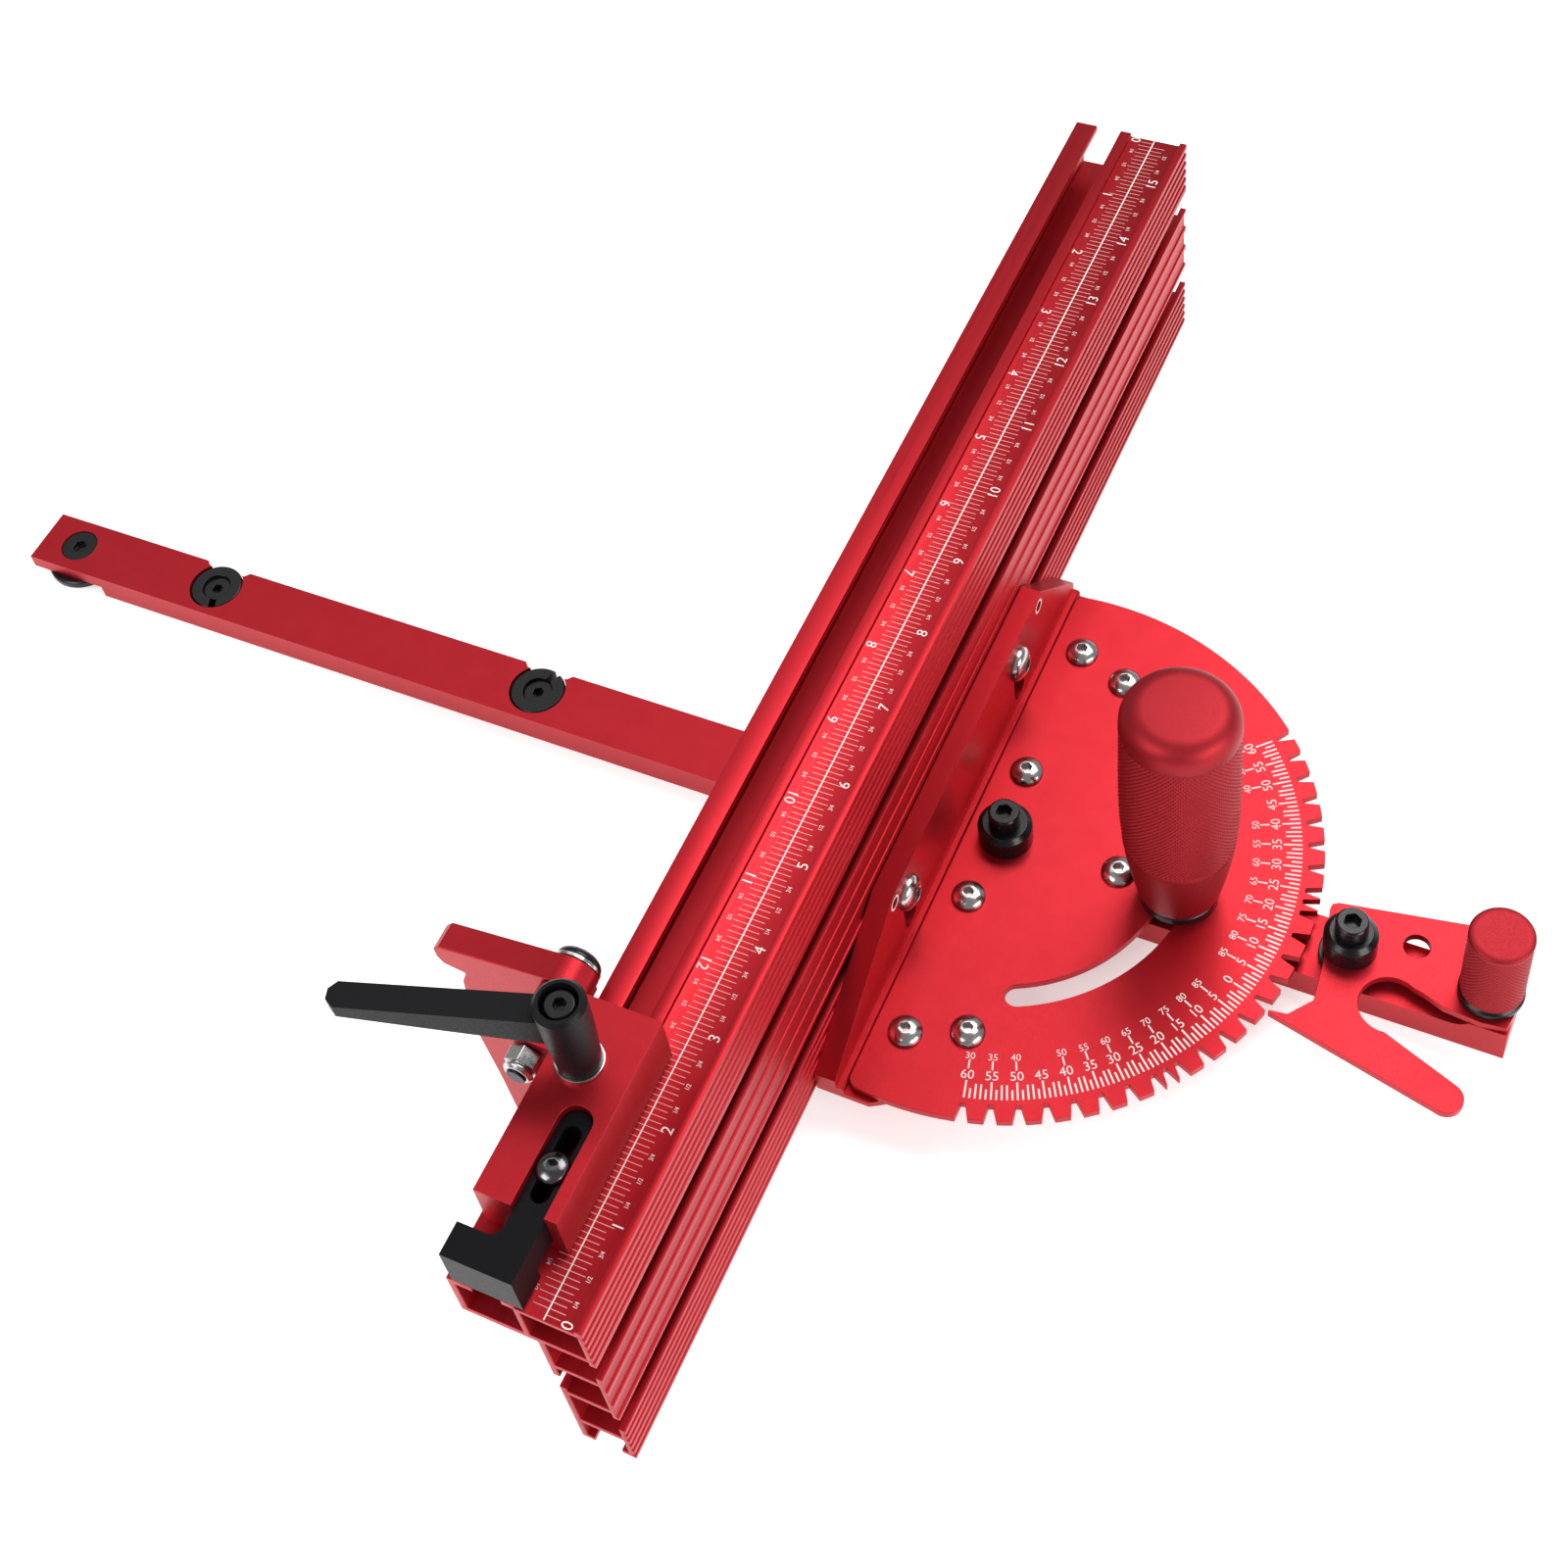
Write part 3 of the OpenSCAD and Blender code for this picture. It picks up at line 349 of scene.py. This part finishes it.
def one_fence():
    """The fence as the single extrusion that it is: the CAD's pieces with their inner faces taken out."""
    gathered = bmesh.new()
    for name in FENCE_NODES:
        gathered.from_mesh(nodes[name].data)
    levels = [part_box(name)[1].z for name in FENCE_NODES[:-1]]
    level_faces = [f for f in gathered.faces if abs(f.normal.z) > LEVEL_NORMAL]
    inner = [f for f in level_faces if any(abs(f.calc_center_median().z - z) < SAME for z in levels)]
    bmesh.ops.delete(gathered, geom=inner, context="FACES")
    bmesh.ops.remove_doubles(gathered, verts=gathered.verts, dist=SAME)
    bmesh.ops.dissolve_limit(gathered, angle_limit=FLAT_ANGLE, verts=gathered.verts, edges=gathered.edges)
    mesh = bpy.data.meshes.new("fence_extrusion")
    gathered.to_mesh(mesh)
    gathered.free()
    for face in mesh.polygons:
        face.use_smooth = True
    mesh.materials.append(fence_red)
    obj = show("fence_extrusion", mesh)
    broken_edges(obj, FENCE_EDGE)
    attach(obj, "protractor")
    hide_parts(*FENCE_NODES)


one_fence()


# Knurled grips, turned around an axis: each row is (radius, height above the foot)

GRIP_SHARP_ANGLE = math.radians(40)


def knurled_grip(name, foot, low_rows, knurl, high_rows, around, depth, body, stands_for):
    """Plain rows, then a diamond knurl whose points alternate, then plain rows up to the closed top."""
    foot_x, foot_y, foot_z = foot
    rows = [(r, h, False) for r, h in low_rows]
    rows += [(r, h, True) for r, h in knurl]
    rows += [(r, h, False) for r, h in high_rows]
    points, faces, flat = [], [], set()
    for b, (r, h, cut) in enumerate(rows):
        for a in range(around):
            angle = 2 * math.pi * a / around
            reach = r - (depth if cut and (a + b) % 2 else 0)
            points.append((foot_x + reach * math.cos(angle), foot_y + reach * math.sin(angle), foot_z + h))
    for b in range(len(rows) - 1):
        for a in range(around):
            here = b * around + a
            right = b * around + (a + 1) % around
            above = here + around
            above_right = right + around
            if not (rows[b][2] or rows[b + 1][2]):
                faces.append((here, right, above_right, above))
                continue
            flat.update((len(faces), len(faces) + 1))
            if (a + b) % 2:
                faces += [(here, right, above_right), (here, above_right, above)]
            else:
                faces += [(here, right, above), (right, above_right, above)]
    top = len(points)
    bottom = top + 1
    points += [(foot_x, foot_y, foot_z + rows[-1][1]), (foot_x, foot_y, foot_z + rows[0][1])]
    last = (len(rows) - 1) * around
    faces += [(last + a, last + (a + 1) % around, top) for a in range(around)]
    faces += [((a + 1) % around, a, bottom) for a in range(around)]
    obj = piece(name, points, faces, turned_red, body, flat)
    sharp = obj.modifiers.new("sharp", "EDGE_SPLIT")
    sharp.split_angle = GRIP_SHARP_ANGLE
    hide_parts(stands_for)


def steps(low, high, count):
    return [low + (high - low) * i / count for i in range(count + 1)]


def grip_size(node, joint):
    """The foot's middle, the height and the greatest radius of a turned CAD piece."""
    axis_x, axis_y = (round(v / MM, 3) for v in axis_m[joint][:2])
    low, high = box_mm(node)
    return (axis_x, axis_y, low[2]), high[2] - low[2], high[0] - axis_x


# The handle swells from its foot to its belly and ends in a rounded shoulder
handle_foot, handle_h, handle_r = grip_size("handle", "handle_turn")
HANDLE_FOOT_R = 11
HANDLE_EDGE_R = 6
HANDLE_SHOULDER_DROP = 0.4
HANDLE_BELLY = 0.53
# Each point is how far in from the foot's side, and how far up
HANDLE_FOOT_EDGE = ((0.5, 0), (0.05, 0.4))
HANDLE_FOOT_H = 1
HANDLE_FOOT_ROWS = 10
HANDLE_KNURL_LOW = 26
HANDLE_KNURL_HIGH = 74.5
HANDLE_KNURL_ROWS = 60
HANDLE_KNURL_AROUND = 160
HANDLE_KNURL_DEPTH = 0.32
# Plain steps below and above the knurl
HANDLE_KNURL_STEP_LOW = 0.5
HANDLE_KNURL_STEP_HIGH = 0.4
belly_h = handle_h * HANDLE_BELLY
shoulder_h = handle_h - HANDLE_EDGE_R
shoulder_r = handle_r - HANDLE_SHOULDER_DROP


def handle_radius(h):
    if h < belly_h:
        return handle_r - (handle_r - HANDLE_FOOT_R) * (1 - h / belly_h) ** 2
    return handle_r - HANDLE_SHOULDER_DROP * ((h - belly_h) / (shoulder_h - belly_h)) ** 2


def handle_rows(low, high, count):
    return [(handle_radius(h), h) for h in steps(low, high, count)]


def handle_edge(degrees):
    a = math.radians(degrees)
    return shoulder_r - HANDLE_EDGE_R * (1 - math.cos(a)), shoulder_h + HANDLE_EDGE_R * math.sin(a)


foot_rows = [(HANDLE_FOOT_R - inset, up) for inset, up in HANDLE_FOOT_EDGE]
foot_rows += handle_rows(HANDLE_FOOT_H, HANDLE_KNURL_LOW, HANDLE_FOOT_ROWS)
knurl_rows = handle_rows(HANDLE_KNURL_LOW + HANDLE_KNURL_STEP_LOW, HANDLE_KNURL_HIGH, HANDLE_KNURL_ROWS)
dome_rows = handle_rows(HANDLE_KNURL_HIGH + HANDLE_KNURL_STEP_HIGH, shoulder_h, 2)
dome_rows += [handle_edge(a) for a in range(10, 91, 10)]
knurled_grip("handle_grip", handle_foot, foot_rows, knurl_rows, dome_rows,
             HANDLE_KNURL_AROUND, HANDLE_KNURL_DEPTH, "handle", "handle")

# The lock knob is straight, with a plain band at each end
knob_foot, knob_h, knob_r = grip_size("lock_knob", "lock_knob_turn")
# Each point is how far in from the side, and how far up from the foot or down from the top
KNOB_FOOT_EDGE = ((0.9, 0), (0.1, 0.7), (0, 0.9), (0, 1.2))
KNOB_TOP_EDGE = ((0, 1.3), (0, 0.8), (0.2, 0.3), (0.7, 0), (2, 0))
KNOB_KNURL_LOW = 1.6
KNOB_KNURL_HIGH = knob_h - 1.7
KNOB_KNURL_ROWS = 30
KNOB_KNURL_AROUND = 92
KNOB_KNURL_DEPTH = 0.26
knurled_grip("lock_knob_grip", knob_foot,
             [(knob_r - inset, up) for inset, up in KNOB_FOOT_EDGE],
             [(knob_r, h) for h in steps(KNOB_KNURL_LOW, KNOB_KNURL_HIGH, KNOB_KNURL_ROWS)],
             [(knob_r - inset, knob_h - down) for inset, down in KNOB_TOP_EDGE],
             KNOB_KNURL_AROUND, KNOB_KNURL_DEPTH, "lock_knob", "lock_knob")


# Painted highlights: pale rings around the bracket's set screws, in place of their glints

SET_SCREW_R = 1.6
SET_SCREW_DEPTH = 1
RING_INNER_R = 1.7
RING_OUTER_R = 2.35
RING_LIFT = 0.03
RING_AROUND = 40


def bare_edge(name, x, y, z):
    """A pale ring in the anodised face around a screw hole, a painted highlight for the set screw's glint.
    """
    points = []
    for r in (RING_INNER_R, RING_OUTER_R):
        for a in range(RING_AROUND):
            angle = 2 * math.pi * a / RING_AROUND
            points.append((x + r * math.cos(angle), y, z + r * math.sin(angle)))
    faces = []
    for a in range(RING_AROUND):
        after = (a + 1) % RING_AROUND
        faces.append((a, after, RING_AROUND + after, RING_AROUND + a))
    piece(name, points, faces, glint_paint, "protractor")


def set_screw_edges():
    low, high = box_mm("bracket_set_screws")
    face_y = low[1] - SET_SCREW_DEPTH - RING_LIFT
    z = (low[2] + high[2]) / 2
    bare_edge("near_set_screw_glint", low[0] + SET_SCREW_R, face_y, z)
    bare_edge("far_set_screw_glint", high[0] - SET_SCREW_R, face_y, z)


set_screw_edges()


# Printed marks

# Height of a digit in a font of size 1
DIGIT_H = 0.7
PRINT_GAP = 0.02


def glyph(text, height):
    """Points in millimetres and triangles of a line of text, centred on the origin."""
    curve = bpy.data.curves.new("glyph", "FONT")
    curve.body = text
    curve.size = 1
    curve.resolution_u = 3
    curve.align_x = "CENTER"
    holder = bpy.data.objects.new("glyph", curve)
    mesh = holder.to_mesh()
    mesh.calc_loop_triangles()
    points = np.array([v.co[:2] for v in mesh.vertices]) * (height / DIGIT_H)
    triangles = [tuple(t.vertices) for t in mesh.loop_triangles]
    holder.to_mesh_clear()
    bpy.data.objects.remove(holder)
    bpy.data.curves.remove(curve)
    points[:, 1] -= height / 2
    return points, triangles


class Print:
    """Flat marks gathered into one piece, at height z."""

    def __init__(self, z):
        self.z = z
        self.points = []
        self.faces = []
        self.known = {}

    def bar(self, a, b, width):
        a, b = np.array(a, float), np.array(b, float)
        along = (b - a) / np.linalg.norm(b - a)
        side = np.array([-along[1], along[0]]) * width / 2
        start = len(self.points)
        for p in (a - side, b - side, b + side, a + side):
            self.points.append((p[0], p[1], self.z))
        self.faces.append((start, start + 1, start + 2, start + 3))

    def text(self, words, centre, height, turn, narrow=1):
        key = (words, height)
        if key not in self.known:
            self.known[key] = glyph(words, height)
        points, triangles = self.known[key]
        start = len(self.points)
        c, s = math.cos(turn), math.sin(turn)
        for x, y in points:
            x = x * narrow
            self.points.append((centre[0] + x * c - y * s, centre[1] + x * s + y * c, self.z))
        self.faces += [tuple(start + i for i in t) for t in triangles]

    def make(self, name, body, made):
        piece(name, self.points, self.faces, made, body)


# Angle scale: radii from the pivot, widths and digit heights in millimetres
ZERO_ANG = 16.3
LAST_DEGREE = 60
TICK_OUT_R = 80.4
FIVE_TICK_R = 75.4
LONG_TICK_R = 76.2
SHORT_TICK_R = 77.6
TICK_W = 0.5
OUTER_DIGITS_R = 73.6
OUTER_DIGITS_H = 2.6
DASH_OUT_R = 72
DASH_IN_R = 69.4
DASH_W = 0.45
INNER_DIGITS_R = 68.2
INNER_DIGITS_H = 1.9
# The inner row has no number beside this one
LONE_DEGREE = 45
# Inner ends of the ticks from one numbered tick to the next
TICK_CYCLE = (FIVE_TICK_R, SHORT_TICK_R, LONG_TICK_R, LONG_TICK_R, SHORT_TICK_R)


def heading(degrees, radius):
    a = math.radians(degrees)
    return np.array([radius * math.sin(a), -radius * math.cos(a)])


def angle_scale():
    """A tick for each degree, a number for each fifth, and its complement on a dash below."""
    angles = Print(box_mm("protractor_plate")[1][2] + PRINT_GAP)
    for degree in range(-LAST_DEGREE, LAST_DEGREE + 1):
        size = abs(degree)
        towards = degree - ZERO_ANG
        cycle = size % len(TICK_CYCLE)
        angles.bar(heading(towards, TICK_CYCLE[cycle]), heading(towards, TICK_OUT_R), TICK_W)
        if cycle:
            continue
        turn = math.radians(towards)
        angles.text(str(size), heading(towards, OUTER_DIGITS_R), OUTER_DIGITS_H, turn)
        if size not in (0, LONE_DEGREE):
            angles.bar(heading(towards, DASH_IN_R), heading(towards, DASH_OUT_R), DASH_W)
            angles.text(str(90 - size), heading(towards, INNER_DIGITS_R), INNER_DIGITS_H, turn)
    angles.make("angle_scale", "protractor", marks)


angle_scale()

# Fence ruler: sixteenths of an inch on both sides of a middle line, in a shallow channel
INCH = 25.4
PARTS = 16
CHANNEL_DEPTH = 1.3
MIDDLE_Y = 29.1
MIDDLE_W = 0.34
MIDDLE_INSET = 0.3
TICK_INSET = 0.5
FRACTION_INSET = 1
INCH_TICK = 5.05
EIGHTH_TICK = 4.15
SIXTEENTH_TICK = 3.65
RULER_TICK_W = 0.17
INCH_DIGITS_H = 2.9
INCH_DIGITS_OUT = 5.5
INCH_DIGITS_SHIFT = 0.75
ZERO_SHIFT = 1.2
FRACTIONS_H = 1.15
FRACTIONS_OUT = 5.2
FRACTIONS_SHIFT = 0.3
FRACTIONS_NARROW = 0.8
FRACTIONS = ("", "1/4", "1/2", "3/4")


def fence_scale():
    """Two rulers that count from opposite ends of the fence, one on each side of the middle line."""
    low, high = box_mm("fence_top_box")
    near, far = low[0], high[0]
    length = far - near
    channel_z = high[2] - CHANNEL_DEPTH
    ruler = Print(channel_z + PRINT_GAP)
    ticks = Print(channel_z + PRINT_GAP / 2)
    ruler.bar((near + MIDDLE_INSET, MIDDLE_Y), (far - MIDDLE_INSET, MIDDLE_Y), MIDDLE_W)
    for side, start, turn in ((-1, near, 0), (1, far, math.pi)):
        for part in range(1, int(length / INCH * PARTS)):
            x = start - side * part * INCH / PARTS
            if not near + TICK_INSET < x < far - TICK_INSET:
                continue
            reach = SIXTEENTH_TICK if part % 2 else (EIGHTH_TICK if part % PARTS else INCH_TICK)
            ticks.bar((x, MIDDLE_Y), (x, MIDDLE_Y + side * reach), RULER_TICK_W)
        for quarter in range(int(length / INCH * 4) + 1):
            x = start - side * quarter * INCH / 4
            inches, fraction = divmod(quarter, 4)
            if fraction == 0:
                shift = INCH_DIGITS_SHIFT if inches else ZERO_SHIFT
                place = (x - side * shift, MIDDLE_Y + side * INCH_DIGITS_OUT)
                ruler.text(str(inches), place, INCH_DIGITS_H, turn)
            elif near + FRACTION_INSET < x < far - FRACTION_INSET:
                place = (x + side * FRACTIONS_SHIFT, MIDDLE_Y + side * FRACTIONS_OUT)
                ruler.text(FRACTIONS[fraction], place, FRACTIONS_H, turn, FRACTIONS_NARROW)
    ruler.make("fence_scale", "protractor", marks)
    ticks.make("fence_ticks", "protractor", fine_marks)


fence_scale()


# Floor, lights and camera, in metres

FLOOR_HALF = 4
FLOOR_Z = -0.0004
FLOOR_GLOW = 0.5
WORLD_STRENGTH = 0.32


def plain_floor():
    mesh = bpy.data.meshes.new("floor")
    signs = ((-1, -1), (1, -1), (1, 1), (-1, 1))
    corners = [(x * FLOOR_HALF, y * FLOOR_HALF, FLOOR_Z) for x, y in signs]
    mesh.from_pydata(corners, [], [(0, 1, 2, 3)])
    made = material("floor_paint", (0.86, 0.86, 0.86), metallic=0, roughness=0.8)
    glow = made.node_tree.nodes["Principled BSDF"].inputs
    glow["Emission Color"].default_value = (1, 1, 1, 1)
    glow["Emission Strength"].default_value = FLOOR_GLOW
    mesh.materials.append(made)
    obj = show("floor", mesh)


def soft_light(name, place, aim, size, power):
    light = bpy.data.lights.new(name, "AREA")
    light.shape = "RECTANGLE"
    light.size = size[0]
    light.size_y = size[1]
    light.energy = power
    obj = show(name, light)
    obj.location = place
    obj.rotation_mode = "QUATERNION"
    obj.rotation_quaternion = (Vector(aim) - Vector(place)).to_track_quat("-Z", "Y")


def pale_world():
    world = bpy.data.worlds.new("studio")
    world.use_nodes = True
    background = world.node_tree.nodes["Background"]
    background.inputs["Color"].default_value = (1, 1, 1, 1)
    background.inputs["Strength"].default_value = WORLD_STRENGTH
    bpy.context.scene.world = world
    bpy.context.scene.view_settings.view_transform = "Standard"


plain_floor()
soft_light("key", place=(0.95, -0.25, 1.6), aim=(0, 0, 0), size=(1.3, 1.1), power=26)
soft_light("left", place=(-1.5, 0.9, 1.4), aim=(0, 0, 0), size=(1.1, 1.1), power=24)
soft_light("over", place=(0.5, 1.0, 1.5), aim=(0, 0.2, 0), size=(0.9, 0.9), power=2.5)
soft_light("front", place=(-0.5, -1.6, 0.8), aim=(0, 0, 0.05), size=(1.2, 0.6), power=21)
pale_world()

# The photograph's viewpoint: focal length and optical centre in its pixels, place and turn in the frame
PHOTO_SIDE = 1600
FOCAL = 2598.13
CENTRE = (706.34, 552.10)
EYE_PLACE = (-0.34766, -0.16710, 0.62129)
EYE_TURN = (39.3227, 8.1008, -64.0517)
SENSOR = 36


def photo_camera():
    camera = bpy.data.cameras.new("photo_view")
    camera.sensor_width = SENSOR
    camera.lens = FOCAL / PHOTO_SIDE * SENSOR
    camera.shift_x = (PHOTO_SIDE / 2 - CENTRE[0]) / PHOTO_SIDE
    camera.shift_y = (CENTRE[1] - PHOTO_SIDE / 2) / PHOTO_SIDE
    camera.clip_start = 0.01
    camera.clip_end = 20
    eye = show("photo_view", camera)
    eye.rotation_mode = "XYZ"
    eye.location = EYE_PLACE
    eye.rotation_euler = [math.radians(a) for a in EYE_TURN]
    bpy.context.scene.camera = eye


photo_camera()
